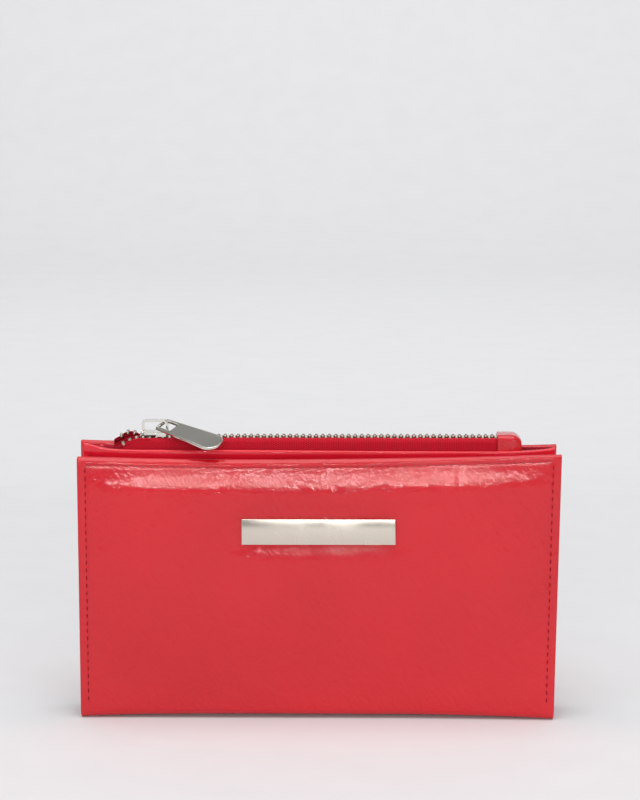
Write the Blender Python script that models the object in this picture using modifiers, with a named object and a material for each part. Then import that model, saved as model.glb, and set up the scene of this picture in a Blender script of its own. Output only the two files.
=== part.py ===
"""Zip-top bifold wallet: a front cover and a back half joined by a soft spine, a coin pocket with a
metal zip along its top edge, card slots on both inner faces, a press stud and a metal name plate.

Metres, +Z up. The wallet stands on its spine: +X runs along it, -Y is the front with the plate.
The origin is the middle of the spine's underside."""

import math

import bmesh
import bpy
from mathutils import Matrix, Vector

MM = 0.001

# Overall sizes
cover_width = 190 * MM
cover_height = 106 * MM
body_width = 188 * MM
body_height = 110 * MM
fold_radius = 3 * MM
coin_space = 7.6 * MM

# Sheets, and the gap that lying sheets keep between them
sheet_gap = 0.2 * MM
leather = 1.0 * MM
hem = 0.6 * MM
board = 0.7 * MM
lining = 0.4 * MM
tape = 0.5 * MM
slot_sheet = 0.45 * MM
closing_gap = 0.5 * MM

# Hems, linings and boards, measured from a panel's own edges
hem_depth_cover = 5 * MM
hem_depth_body = 7 * MM
board_inset = 2 * MM
board_lift = 4 * MM
board_drop = 3 * MM
lining_inset = 1.2 * MM
lining_lift = 3.5 * MM
lining_drop = 2.4 * MM
thread_inset = 3.2 * MM
thread_radius = 0.2 * MM
thread_gap = 0.1 * MM

# Card slots: each next strip, towards the hand, is lower by one step
slot_count = 3
slot_inset = 2.5 * MM
slot_lift = 6 * MM
slot_step = 13 * MM
slot_top_below_edge = 22 * MM

# Zip
chain_height = 2.3 * MM          # middle of the chain above the pocket's top edge
chain_right = 75.5 * MM
chain_left = -80 * MM
chain_bend = -71.5 * MM        # the chain turns down into the pocket left of this
spread_start = -64 * MM        # the rows part inside the slider, between these two places
spread_end = -68.3 * MM
chain_drop = 3.8 * MM
chain_spread = 1.15 * MM
tooth_pitch = 2.6 * MM
tooth_width = 1.1 * MM
tooth_height = 2.0 * MM
tooth_head = 0.6 * MM          # how far a tooth reaches past the middle of the chain
tooth_root = 2.4 * MM
bead_radius = 0.5 * MM         # the cord in the tape's edge, which the teeth are clamped on
bead_offset = 1.7 * MM
tape_edge = 2.75 * MM
tape_tail = 5.5 * MM           # how far the tape goes down behind the leather
tape_overrun = 2.5 * MM
stop_width = 1.6 * MM

# Slider, its crown and the pull
slider_left = -71 * MM
slider_length = 11 * MM
slider_half_width = 3.8 * MM
slider_tail_half_width = 3.3 * MM
slider_nose_half_width = 2.3 * MM
slider_plate = 1.0 * MM
slider_clearance = 0.3 * MM
slider_rail = 0.6 * MM
slider_wedge_length = 1.6 * MM
slider_wedge_half_width = 0.42 * MM
crown_start = 0.2 * MM
crown_length = 10.6 * MM
crown_height = 4.75 * MM
crown_thickness = 1.0 * MM
crown_width = 2.0 * MM
crown_gap = 0.05 * MM
pull_pivot_from_left = 8.1 * MM
pull_pivot_height = 2.7 * MM   # above the slider's top plate
pull_length = 29.4 * MM
pull_root_width = 7.8 * MM
pull_end_width = 10.8 * MM
pull_thickness = 1.2 * MM
pull_bar = 1.1 * MM
pull_window_length = 5.6 * MM
pull_window_width = 5.2 * MM
pull_turn = math.radians(33)   # the pull lies turned to the front, its front edge low
pull_droop = math.radians(11)
pull_roll = math.radians(20)
slider_travel = 122 * MM

# Leather tab over the closed end of the zip
end_tab_start = 70 * MM
end_tab_length = 10.5 * MM
end_tab_leather = 0.8 * MM

# Name plate
plate_length = 61 * MM
plate_width = 10.4 * MM
plate_thickness = 1.2 * MM
plate_below_top = 29 * MM
prong_spread = 24 * MM
prong_width = 2.4 * MM
prong_thickness = 0.3 * MM
prong_tip = 2.2 * MM
washer_size = 7 * MM
washer_thickness = 0.25 * MM

# Press stud
snap_below_top = 12 * MM
snap_radius = 5 * MM
snap_disc = 0.55 * MM
snap_tube_radius = 2.0 * MM
snap_stud_radius = 1.9 * MM
snap_neck_radius = 1.4 * MM
snap_clearance = 0.3 * MM
snap_socket_thickness = 2.1 * MM
snap_spring_wire = 0.22 * MM

# Gussets
gusset_depth = 7 * MM
gusset_inset = 1.5 * MM

FULL_CIRCLE = 2 * math.pi


def stack_sheets():
    """Places every sheet of the closed wallet along Y, front to back, as name: (front y, back y)."""
    slots = [slot_sheet] * slot_count
    cover = [("cover_leather", leather), ("cover_board", board), ("cover_hem", hem)]
    cover += [(f"cover_slot_{i + 1}", t) for i, t in enumerate(slots)]
    pocket = [(f"pocket_slot_{slot_count - i}", t) for i, t in enumerate(slots)]
    pocket += [("pocket_leather", leather), ("pocket_hem", hem), ("tape_front", tape)]
    pocket += [("lining_front", lining)]
    back = [("lining_back", lining), ("tape_back", tape), ("back_hem", hem)]
    back += [("back_board", board), ("back_leather", leather)]

    places = {}
    y = 0.0
    for group, room_after in ((cover, closing_gap), (pocket, coin_space), (back, 0.0)):
        for name, thickness in group:
            places[name] = (y, y + thickness)
            y += thickness + sheet_gap
        y += room_after - sheet_gap
    middle = y / 2
    return {name: (a - middle, b - middle) for name, (a, b) in places.items()}


SHEETS = stack_sheets()
front_face = SHEETS["cover_leather"][0]
back_face = SHEETS["back_leather"][1]
zip_y = (SHEETS["tape_front"][1] + SHEETS["tape_back"][0]) / 2
zip_z = body_height + chain_height
tent_half_width = SHEETS["tape_back"][0] - zip_y + tape / 2
half_cover = cover_width / 2
half_body = body_width / 2
# Each fold line lies where turning about it keeps the length of the leather's outer arc
fold_line_inset = fold_radius * (1 - math.pi / 4)


def clear_scene():
    for obj in list(bpy.data.objects):
        bpy.data.objects.remove(obj, do_unlink=True)


def make_material(name, colour, roughness, metallic=0.0):
    material = bpy.data.materials.new(name)
    material.use_nodes = True
    shader = material.node_tree.nodes["Principled BSDF"]
    shader.inputs["Base Color"].default_value = (*colour, 1.0)
    shader.inputs["Roughness"].default_value = roughness
    shader.inputs["Metallic"].default_value = metallic
    return material


clear_scene()
wallet = bpy.data.collections.new("zip_top_wallet")
cutters = bpy.data.collections.new("cutters")
for new_collection in (wallet, cutters):
    bpy.context.scene.collection.children.link(new_collection)

glazed_leather = make_material("glazed_leather", (0.58, 0.011, 0.024), 0.25)
smooth_leather = make_material("smooth_leather", (0.65, 0.012, 0.03), 0.45)
card_board = make_material("card_board", (0.45, 0.33, 0.22), 0.9)
twill = make_material("twill", (0.02, 0.02, 0.022), 0.85)
woven_tape = make_material("woven_tape", (0.42, 0.006, 0.02), 0.8)
nickel = make_material("nickel", (0.72, 0.71, 0.68), 0.2, 1.0)
thread_red = make_material("thread_red", (0.4, 0.008, 0.016), 0.7)


def file_in(obj, collection):
    for owner in list(obj.users_collection):
        owner.objects.unlink(obj)
    collection.objects.link(obj)


def finish(obj, name, material, parent=None):
    """Names a piece, gives it its material, and files it in the wallet's collection."""
    obj.name = name
    obj.data.name = name
    file_in(obj, wallet)
    obj.data.materials.clear()
    obj.data.materials.append(material)
    if parent is not None:
        keep_place(obj, parent)
    return obj


def keep_place(obj, parent):
    """Parents a piece to an empty without moving it."""
    bpy.context.view_layer.update()
    obj.parent = parent
    obj.matrix_parent_inverse = parent.matrix_world.inverted()


def as_cutter(obj):
    obj.hide_render = True
    obj.display_type = "WIRE"
    file_in(obj, cutters)
    return obj


def block(x_range, y_range, z_range):
    """A box between two corners, with its scale applied."""
    size = Vector((b - a for a, b in (x_range, y_range, z_range)))
    centre = Vector(((a + b) / 2 for a, b in (x_range, y_range, z_range)))
    bpy.ops.mesh.primitive_cube_add(size=1, location=centre)
    obj = bpy.context.object
    obj.data.transform(Matrix.Diagonal((*size, 1)))
    return obj


def bevel(obj, width, segments=1):
    modifier = obj.modifiers.new("rounded_edges", "BEVEL")
    modifier.width = width
    modifier.segments = segments
    modifier.limit_method = "ANGLE"
    return obj


def flat_outline(loops, thickness, rotation=(0, 0, 0), location=(0, 0, 0)):
    """A flat sheet cut to one or more closed loops of (x, y) points; an inner loop is a hole."""
    curve = bpy.data.curves.new("outline", "CURVE")
    curve.dimensions = "2D"
    curve.fill_mode = "BOTH"
    curve.extrude = thickness / 2
    for loop in loops:
        spline = curve.splines.new("POLY")
        spline.points.add(len(loop) - 1)
        for point, (x, y) in zip(spline.points, loop):
            point.co = (x, y, 0, 1)
        spline.use_cyclic_u = True
    obj = bpy.data.objects.new("outline", curve)
    bpy.context.scene.collection.objects.link(obj)
    obj.rotation_euler = rotation
    obj.location = location
    return obj


def poly_tube(points, radius):
    """A closed tube of a few sides along straight runs between points."""
    curve = bpy.data.curves.new("tube", "CURVE")
    curve.dimensions = "3D"
    curve.bevel_depth = radius
    curve.bevel_resolution = 0
    curve.use_fill_caps = True
    spline = curve.splines.new("POLY")
    spline.points.add(len(points) - 1)
    for target, point in zip(spline.points, points):
        target.co = (*point, 1)
    obj = bpy.data.objects.new("tube", curve)
    bpy.context.scene.collection.objects.link(obj)
    return obj


def as_mesh(curve_obj):
    """Makes a curve piece a welded mesh, so that it can be cut, joined or bevelled."""
    bpy.context.view_layer.update()
    graph = bpy.context.evaluated_depsgraph_get()
    mesh = bpy.data.meshes.new_from_object(curve_obj.evaluated_get(graph))
    shape = bmesh.new()
    shape.from_mesh(mesh)
    bmesh.ops.remove_doubles(shape, verts=shape.verts, dist=1e-6)
    bmesh.ops.recalc_face_normals(shape, faces=shape.faces)
    shape.to_mesh(mesh)
    shape.free()
    obj = bpy.data.objects.new("piece", mesh)
    bpy.context.scene.collection.objects.link(obj)
    obj.matrix_world = curve_obj.matrix_world
    bpy.data.objects.remove(curve_obj)
    return obj


def along_x(loop, x_range):
    """A profile of (y, z) points carried along X."""
    middle = (x_range[0] + x_range[1]) / 2
    return as_mesh(
        flat_outline(
            [loop],
            x_range[1] - x_range[0],
            rotation=(math.pi / 2, 0, math.pi / 2),
            location=(middle, 0, 0),
        )
    )


def boolean(obj, others, operation):
    """Cuts others from obj or joins them to it."""
    for other in others:
        modifier = obj.modifiers.new(operation.lower(), "BOOLEAN")
        modifier.operation = operation
        modifier.solver = "EXACT"
        modifier.object = as_cutter(other)
    return obj


def turned_about_y(profile, centre, steps=32):
    """A ring or disc turned about a line along Y through centre. The profile holds (radius, y) points
    in order round its section; radius 0 points close it on the line."""
    mesh = bpy.data.meshes.new("profile")
    points = [(radius, y, 0) for radius, y in profile[::-1]]
    touches_line = profile[0][0] == 0 and profile[-1][0] == 0
    edges = [(i, i + 1) for i in range(len(points) - 1)]
    if not touches_line:
        edges.append((len(points) - 1, 0))
    mesh.from_pydata(points, edges, [])
    obj = bpy.data.objects.new("turned", mesh)
    bpy.context.scene.collection.objects.link(obj)
    obj.location = centre
    screw = obj.modifiers.new("turn", "SCREW")
    screw.axis = "Y"
    screw.steps = steps
    screw.render_steps = steps
    screw.use_merge_vertices = True
    screw.merge_threshold = 0.00001
    return obj


def disc_cutter(radius, y_range, x, z):
    """A round cutter along Y."""
    length = y_range[1] - y_range[0]
    bpy.ops.mesh.primitive_cylinder_add(
        vertices=32,
        radius=radius,
        depth=length,
        location=(x, (y_range[0] + y_range[1]) / 2, z),
        rotation=(math.pi / 2, 0, 0),
    )
    return bpy.context.object


def arc(centre, radius, start, end, steps):
    """Points along an arc, both ends included, with angles in radians."""
    angles = (start + (end - start) * i / steps for i in range(steps + 1))
    return [
        (centre[0] + radius * math.cos(a), centre[1] + radius * math.sin(a)) for a in angles
    ]


def wider(y_range, by):
    return (y_range[0] - by, y_range[1] + by)


# Empties on the joints' axes ------------------------------------------------------------------------


def joint_empty(name, location):
    empty = bpy.data.objects.new(name, None)
    empty.location = location
    empty.empty_display_size = 0.005
    wallet.objects.link(empty)
    return empty


spine_hinge = joint_empty("spine_fold", (0, back_face - fold_line_inset, fold_line_inset))
cover_hinge = joint_empty("cover_fold", (0, front_face + fold_line_inset, fold_line_inset))
slider_origin = joint_empty("slider_travel", (slider_left + slider_length / 2, zip_y, zip_z))
plate_top_z = zip_z + tooth_height / 2 + slider_clearance + slider_plate
pull_pivot = Vector((slider_left + pull_pivot_from_left, zip_y, plate_top_z + pull_pivot_height))
pull_origin = joint_empty("pull_swing", pull_pivot)
bpy.context.view_layer.update()


# Leather shell ---------------------------------------------------------------------------------------


def panel_profile(outer_y, inward, height, hem_range, hem_depth):
    """Section of an outer panel: half of the fold's arc, the flat panel, and the hem turned over its
    top edge. inward is +1 for the front panel and -1 for the back one."""
    centre = (outer_y + inward * fold_radius, fold_radius)
    start, end = (5 / 4 * math.pi, math.pi) if inward > 0 else (-math.pi / 4, 0)
    split = sheet_gap / 2 / fold_radius * (-1 if inward > 0 else 1)
    outer = arc(centre, fold_radius, start + split, end, 4)
    inner = arc(centre, fold_radius - leather, start + split, end, 4)
    hem_outer = hem_range[1] if inward > 0 else hem_range[0]
    hem_inner = hem_range[0] if inward > 0 else hem_range[1]
    over_top = [
        (outer_y, height - hem),
        (outer_y + inward * hem, height),
        (hem_outer - inward * hem, height),
        (hem_outer, height - hem),
        (hem_outer, height - hem_depth),
        (hem_inner, height - hem_depth),
        (hem_inner, height - leather),
        (outer_y + inward * leather, height - leather),
    ]
    return outer + over_top + inner[::-1]


def spine_profile():
    """Section of the spine: the flat strip between the two halves of the fold's arcs."""
    split = sheet_gap / 2 / fold_radius
    front_centre = (front_face + fold_radius, fold_radius)
    back_centre = (back_face - fold_radius, fold_radius)
    loop = []
    for radius in (fold_radius, fold_radius - leather):
        front = arc(front_centre, radius, 5 / 4 * math.pi + split, 3 / 2 * math.pi, 4)
        back = arc(back_centre, radius, -math.pi / 2, -math.pi / 4 - split, 4)
        run = front + back
        loop += run if radius == fold_radius else run[::-1]
    return loop


def flat_panel_profile(y_range, height, hem_range, hem_depth, bottom):
    """Section of a panel with no fold at its foot, and a hem turned over to the back at its top."""
    return [
        (y_range[0], bottom),
        (y_range[0], height - hem),
        (y_range[0] + hem, height),
        (hem_range[1] - hem, height),
        (hem_range[1], height - hem),
        (hem_range[1], height - hem_depth),
        (hem_range[0], height - hem_depth),
        (hem_range[0], height - leather),
        (y_range[1], height - leather),
        (y_range[1], bottom),
    ]


plate_z = cover_height - plate_below_top
snap_z = cover_height - snap_below_top
prong_xs = (-prong_spread, prong_spread)


slot_width = prong_thickness + 2 * sheet_gap
slot_height = prong_width + 2 * sheet_gap


def prong_cutter(x, y_range, width, height):
    """A cutter for the place where one of the name plate's prongs passes through a sheet."""
    x_range = (x - width / 2, x + width / 2)
    z_range = (plate_z - height / 2, plate_z + height / 2)
    return block(x_range, wider(y_range, leather), z_range)


def make_front_cover():
    """The turning front cover: leather, stiffener, lining and card slots."""
    x_range = (-half_cover, half_cover)
    loop = panel_profile(
        front_face, 1, cover_height, SHEETS["cover_hem"], hem_depth_cover
    )
    shell = along_x(loop, x_range)
    leather_y = SHEETS["cover_leather"]
    slots = [prong_cutter(x, leather_y, slot_width, slot_height) for x in prong_xs]
    boolean(shell, slots, "DIFFERENCE")
    finish(shell, "front_cover_leather", glazed_leather, cover_hinge)

    inside = (-half_cover + board_inset, half_cover - board_inset)
    board_y = SHEETS["cover_board"]
    stiffener = block(inside, board_y, (board_lift, cover_height - board_drop))
    window_width = washer_size + 1 * MM
    windows = [prong_cutter(x, board_y, window_width, window_width) for x in prong_xs]
    boolean(stiffener, windows, "DIFFERENCE")
    window = disc_cutter(snap_radius + snap_clearance, wider(SHEETS["cover_board"], board), 0, snap_z)
    boolean(stiffener, [window], "DIFFERENCE")
    finish(stiffener, "front_cover_board", card_board, cover_hinge)

    hem_y = SHEETS["cover_hem"]
    lining_y = (hem_y[1] - lining, hem_y[1])
    inside = (-half_cover + lining_inset, half_cover - lining_inset)
    cloth = block(inside, lining_y, (lining_lift, cover_height - hem_depth_cover - sheet_gap))
    hole = disc_cutter(snap_tube_radius + snap_clearance, wider(lining_y, lining), 0, snap_z)
    boolean(cloth, [hole], "DIFFERENCE")
    finish(cloth, "front_cover_lining", smooth_leather, cover_hinge)

    for i in range(slot_count):
        top = cover_height - slot_top_below_edge - i * slot_step
        make_slot_strip(f"cover_slot_{i + 1}", cover_width, top, cover_hinge)


def make_slot_strip(name, width, top, parent=None):
    """One card slot strip, full width, its open edge at the top."""
    x_range = (-width / 2 + slot_inset, width / 2 - slot_inset)
    strip = block(x_range, SHEETS[name], (slot_lift, top))
    return finish(strip, name.replace("_slot_", "_card_slot_"), smooth_leather, parent)


def make_spine():
    """The soft spine that joins the two halves, and its lining strip."""
    strip = along_x(spine_profile(), (-half_cover, half_cover))
    finish(strip, "spine_leather", glazed_leather, spine_hinge)
    run = (front_face + fold_radius, back_face - fold_radius)
    height = (leather + sheet_gap, leather + sheet_gap + lining)
    inside = (-half_cover + lining_inset, half_cover - lining_inset)
    finish(block(inside, run, height), "spine_lining", smooth_leather, spine_hinge)


def make_back_half():
    """The back panel with its stiffener, and the front wall of the coin pocket with its card slots."""
    loop = panel_profile(back_face, -1, body_height, SHEETS["back_hem"], hem_depth_body)
    finish(along_x(loop, (-half_cover, half_cover)), "back_leather", glazed_leather)

    inside = (-half_cover + board_inset, half_cover - board_inset)
    stiffener = block(inside, SHEETS["back_board"], (board_lift, body_height - board_drop))
    finish(stiffener, "back_board", card_board)

    loop = flat_panel_profile(
        SHEETS["pocket_leather"],
        body_height,
        SHEETS["pocket_hem"],
        hem_depth_body,
        lining_lift,
    )
    wall = along_x(loop, (-half_body, half_body))
    rivet_hole = disc_cutter(
        snap_tube_radius + snap_clearance, wider(SHEETS["pocket_leather"], leather / 2), 0, snap_z
    )
    boolean(wall, [rivet_hole], "DIFFERENCE")
    finish(wall, "pocket_front_leather", smooth_leather)

    for i in range(slot_count):
        top = cover_height - slot_top_below_edge - i * slot_step
        make_slot_strip(f"pocket_slot_{i + 1}", body_width, top)


def make_pocket_lining():
    """The coin pocket's lining: two walls, the base between them and a folded gusset at each side."""
    top = body_height - lining_drop
    inside = (-half_body + lining_inset, half_body - lining_inset)
    for name, sheet in (("pocket_lining_front", "lining_front"), ("pocket_lining_back", "lining_back")):
        finish(block(inside, SHEETS[sheet], (lining_lift, top)), name, twill)
    floor_y = (SHEETS["lining_front"][1] + sheet_gap, SHEETS["lining_back"][0] - sheet_gap)
    floor_z = (lining_lift, lining_lift + lining)
    finish(block(inside, floor_y, floor_z), "pocket_lining_base", twill)

    middle_y = (floor_y[0] + floor_y[1]) / 2
    mouth = (floor_y[0] + lining / 2, floor_y[1] - lining / 2)
    gusset_z = (floor_z[1] + sheet_gap, body_height - hem_depth_body)
    for name, side in (("left_gusset", -1), ("right_gusset", 1)):
        edge = side * (half_body - gusset_inset)
        tip = side * (half_body - gusset_inset - gusset_depth)
        folded = open_strip([(edge, mouth[0]), (tip, middle_y), (edge, mouth[1])], gusset_z, lining)
        finish(folded, name, twill)


def open_strip(run, z_range, thickness):
    """A folded sheet: an open strip through (x, y) points, made thick by Solidify."""
    mesh = bpy.data.meshes.new("strip")
    points = [(x, y, z) for z in z_range for x, y in run]
    count = len(run)
    faces = [(i, i + 1, count + i + 1, count + i) for i in range(count - 1)]
    mesh.from_pydata(points, [], faces)
    obj = bpy.data.objects.new("strip", mesh)
    bpy.context.scene.collection.objects.link(obj)
    solid = obj.modifiers.new("thickness", "SOLIDIFY")
    solid.thickness = thickness
    solid.offset = 0
    return obj


# Zip -------------------------------------------------------------------------------------------------


def chain_place(x):
    """How far the chain has dropped at x, how far its rows have parted, and its slope. It is flat to
    the right of the bend and a parabola down into the pocket to its left."""
    share = min(1.0, max(0.0, (chain_bend - x) / (chain_bend - chain_left)))
    drop = chain_drop * share**2
    slope = 2 * chain_drop * share / (chain_bend - chain_left)
    parted = min(1.0, max(0.0, (spread_start - x) / (spread_start - spread_end)))
    return drop, chain_spread * parted, slope


def make_tape(name, side):
    """One woven tape: up behind the leather, over the tent's shoulder and in under the teeth. It is a
    grid of stations along the chain by points of its section, made thick by Solidify."""
    straight = [chain_right + tape_overrun, spread_start, spread_end, chain_bend]
    bend_steps = 6
    left_end = chain_left - tape_overrun
    stations = straight + [
        chain_bend + (left_end - chain_bend) * (i + 1) / bend_steps for i in range(bend_steps)
    ]
    tail_bottom = body_height - tape_tail
    section_count = 5
    shape = bmesh.new()
    bmesh.ops.create_grid(
        shape, x_segments=len(stations) - 1, y_segments=section_count - 1, size=0.5
    )
    for vertex in shape.verts:
        i = round((vertex.co.x + 0.5) * (len(stations) - 1))
        j = round((vertex.co.y + 0.5) * (section_count - 1))
        x = stations[i]
        drop, spread, _ = chain_place(x)
        shoulder = tent_half_width - tape
        edge = min(tape_edge + spread, shoulder - tape * 0.4)
        top_z = zip_z - drop
        shoulder_z = top_z - tape * 1.6
        section = [
            (tent_half_width, tail_bottom),
            (tent_half_width, (tail_bottom + shoulder_z) / 2),
            (tent_half_width, shoulder_z),
            (shoulder, top_z),
            (edge, top_z),
        ]
        offset, z = section[j]
        vertex.co = (x, zip_y + side * offset, z)
    bmesh.ops.recalc_face_normals(shape, faces=shape.faces)
    mesh = bpy.data.meshes.new(name)
    shape.to_mesh(mesh)
    shape.free()
    obj = bpy.data.objects.new(name, mesh)
    bpy.context.scene.collection.objects.link(obj)
    solid = obj.modifiers.new("weave_thickness", "SOLIDIFY")
    solid.thickness = tape
    solid.offset = 0
    return finish(obj, name, woven_tape)


def tooth_section(side):
    """A tooth seen along the chain: a head past the middle, and a thicker foot."""
    half = tooth_height / 2
    loop = [
        (-tooth_head, -half * 0.7),
        (tooth_head, -half),
        (tooth_root, -half),
        (tooth_root, half),
        (tooth_head, half),
        (-tooth_head, half * 0.7),
    ]
    return [(side * y, z) for y, z in loop]


def make_teeth(name, side, offset):
    """A row of teeth, each turned to lie along the chain, clamped on the cord that joins them."""
    count = int((chain_right - chain_left) / tooth_pitch)
    single = along_x(tooth_section(side), (-tooth_width / 2, tooth_width / 2))
    single.data.transform(single.matrix_world)
    row = bmesh.new()
    for i in range(count):
        x = chain_right - offset - i * tooth_pitch
        drop, spread, slope = chain_place(x)
        before = len(row.verts)
        row.from_mesh(single.data)
        row.verts.ensure_lookup_table()
        place = Matrix.Translation((x, zip_y + side * spread, zip_z - drop)) @ Matrix.Rotation(
            -math.atan(slope), 4, "Y"
        )
        bmesh.ops.transform(row, matrix=place, verts=row.verts[before:])
    mesh = bpy.data.meshes.new(name)
    row.to_mesh(mesh)
    row.free()
    bpy.data.objects.remove(single)
    teeth = bpy.data.objects.new("teeth", mesh)
    bpy.context.scene.collection.objects.link(teeth)

    stations = [chain_right, spread_start, spread_end, chain_bend]
    stations += [chain_bend + (chain_left - chain_bend) * (i + 1) / 6 for i in range(6)]
    points = []
    for x in stations:
        drop, spread, _ = chain_place(x)
        points.append((x, zip_y + side * (bead_offset + spread), zip_z - drop))
    cord = as_mesh(poly_tube(points, bead_radius))
    boolean(cord, [teeth], "UNION")
    return finish(cord, name, nickel)


def make_stop(name, x, width, reach):
    """A stop pressed over the chain or over one tape's edge."""
    drop, spread, slope = chain_place(x)
    half = tooth_height / 2
    obj = block((x - width / 2, x + width / 2), reach, (zip_z - drop + tape, zip_z - drop + half))
    return finish(bevel(obj, 0.15 * MM), name, nickel)


def make_end_tab():
    """The leather tab folded over the closed end of the zip."""
    inner_half = tent_half_width + tape / 2 + sheet_gap
    outer_half = inner_half + end_tab_leather
    inner_top = zip_z + tooth_height / 2 + sheet_gap
    outer_top = inner_top + end_tab_leather
    foot = body_height + sheet_gap
    corner = 1.2 * MM
    loop = []
    for half, top, radius in ((outer_half, outer_top, corner), (inner_half, inner_top, corner / 2)):
        run = [(zip_y - half, foot)]
        run += arc((zip_y - half + radius, top - radius), radius, math.pi, math.pi / 2, 3)
        run += arc((zip_y + half - radius, top - radius), radius, math.pi / 2, 0, 3)
        run.append((zip_y + half, foot))
        loop += run if half == outer_half else run[::-1]
    obj = along_x(loop, (end_tab_start, end_tab_start + end_tab_length))
    return finish(obj, "zip_end_tab", glazed_leather)


def slider_outline(inset=0.0):
    """The slider seen from above: a narrow nose at its left, shoulders, and a slimmer tail."""
    length = slider_length - inset
    half = slider_half_width - inset
    tail = slider_tail_half_width - inset
    nose = slider_nose_half_width - inset
    start = inset
    side = [
        (start, nose),
        (start + 1.4 * MM, half),
        (start + slider_length * 0.45, half),
        (length - 0.8 * MM, tail),
        (length, tail - 0.8 * MM),
    ]
    return side + [(x, -y) for x, y in side[::-1]]


def make_slider():
    """The slider's two plates with their side rails, joined by the wedge that parts the teeth, and
    the crown above them."""
    half_room = tooth_height / 2 + slider_clearance
    base = Vector((slider_left, zip_y, zip_z))
    rail_gap = tape / 2 + slider_clearance
    plates = []
    for direction in (1, -1):
        plate = as_mesh(
            flat_outline(
                [slider_outline()],
                slider_plate,
                location=base + Vector((0, 0, direction * (half_room + slider_plate / 2))),
            )
        )
        plates.append(plate)
        for side in (1, -1):
            inner = tooth_root + slider_clearance * 1.6
            outer = slider_tail_half_width - 0.05 * MM
            y_range = sorted((zip_y + side * inner, zip_y + side * outer))
            near, far = rail_gap, half_room + slider_plate / 2
            z_range = sorted((zip_z + direction * near, zip_z + direction * far))
            x_range = (slider_left + slider_length * 0.55, slider_left + slider_length * 0.9)
            plates.append(block(x_range, y_range, z_range))
    wedge_x = (slider_left + 0.3 * MM, slider_left + 0.3 * MM + slider_wedge_length)
    wedge_y = (zip_y - slider_wedge_half_width, zip_y + slider_wedge_half_width)
    wedge_z = wider((zip_z, zip_z), half_room + slider_plate / 2)
    wedge = block(wedge_x, wedge_y, wedge_z)
    boolean(plates[0], plates[1:] + [wedge], "UNION")
    finish(plates[0], "slider_body", nickel, slider_origin)

    outer_left = slider_left + crown_start
    outer = crown_arch(outer_left, crown_length, crown_height, 1.6 * MM)
    inner = crown_arch(
        outer_left + crown_thickness,
        crown_length - 2 * crown_thickness,
        crown_height - crown_thickness,
        0.9 * MM,
    )
    foot = plate_top_z + crown_gap
    loop = outer + inner[::-1]
    crown = flat_outline(
        [loop], crown_width, rotation=(math.pi / 2, 0, 0), location=(0, zip_y, foot)
    )
    crown = bevel(as_mesh(crown), 0.2 * MM)
    finish(crown, "slider_crown", nickel, slider_origin)


def crown_arch(left, length, height, radius):
    """Half of the crown's outline: up, round two corners, and down."""
    run = [(left, 0)]
    run += arc((left + radius, height - radius), radius, math.pi, math.pi / 2, 4)
    run += arc((left + length - radius, height - radius), radius, math.pi / 2, 0, 4)
    run.append((left + length, 0))
    return run


def pull_matrix():
    """Turns the pull to where it lies: droops at its end, turned to the front, its front edge low."""
    turn = Matrix.Rotation(-pull_turn, 4, "Z")
    droop = Matrix.Rotation(pull_droop, 4, "Y")
    roll = Matrix.Rotation(pull_roll, 4, "X")
    return Matrix.Translation(pull_pivot) @ turn @ droop @ roll


def make_pull():
    """The pull: a flat tab, rounded at its end, with a window whose end bar hangs in the crown."""
    end_radius = pull_end_width / 2
    root = pull_root_width / 2
    bar = pull_bar / 2
    end_centre = pull_length - end_radius
    round_end = arc((end_centre, 0), end_radius, math.radians(84), math.radians(-84), 10)
    outline = [(-bar, root - 0.8 * MM), (0, root)] + round_end + [(0, -root), (-bar, -root + 0.8 * MM)]
    window_half = pull_window_width / 2
    window = [
        (bar, -window_half),
        (bar + pull_window_length, -window_half),
        (bar + pull_window_length, window_half),
        (bar, window_half),
    ]
    tab = as_mesh(flat_outline([outline, window], pull_thickness))
    tab = bevel(tab, 0.3 * MM)
    tab.matrix_world = pull_matrix()
    finish(tab, "pull_tab", nickel, pull_origin)


def make_zip():
    for name, side, offset in (("front", -1, 0.0), ("back", 1, tooth_pitch / 2)):
        make_tape(f"zip_tape_{name}", side)
        make_teeth(f"zip_teeth_{name}", side, offset)
    stop_x = chain_right + 0.4 * MM + stop_width / 2 + tooth_width / 2
    make_stop("zip_bottom_stop", stop_x, stop_width, wider((zip_y, zip_y), tooth_root))
    make_end_tab()
    make_slider()
    make_pull()


# Hardware --------------------------------------------------------------------------------------------


def make_name_plate():
    """The name plate with two prongs through the leather, bent over a washer behind each."""
    outer_y = front_face - sheet_gap - plate_thickness
    y_range = (outer_y, front_face - sheet_gap)
    z_range = (plate_z - plate_width / 2, plate_z + plate_width / 2)
    plate = bevel(block((-plate_length / 2, plate_length / 2), y_range, z_range), 0.3 * MM, 2)
    leather_back = SHEETS["cover_leather"][1]
    washer_y = (leather_back + sheet_gap / 2, leather_back + sheet_gap / 2 + washer_thickness)
    tip_y = (washer_y[1] + sheet_gap / 2, washer_y[1] + sheet_gap / 2 + prong_thickness)
    half_height = prong_width / 2
    prong_z = (plate_z - half_height, plate_z + half_height)
    legs = []
    for x in prong_xs:
        side = 1 if x > 0 else -1
        leg_x = (x - prong_thickness / 2, x + prong_thickness / 2)
        legs.append(block(leg_x, (y_range[1] - plate_thickness / 2, tip_y[1]), prong_z))
        tip_x = sorted((x - side * prong_thickness / 2, x + side * prong_tip))
        legs.append(block(tip_x, tip_y, prong_z))
    boolean(plate, legs, "UNION")
    finish(plate, "name_plate", nickel, cover_hinge)

    half = washer_size / 2
    for x, name in zip(prong_xs, ("plate_washer_left", "plate_washer_right")):
        washer = block((x - half, x + half), washer_y, (plate_z - half, plate_z + half))
        boolean(washer, [prong_cutter(x, washer_y, slot_width, slot_height)], "DIFFERENCE")
        finish(washer, name, nickel, cover_hinge)


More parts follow.
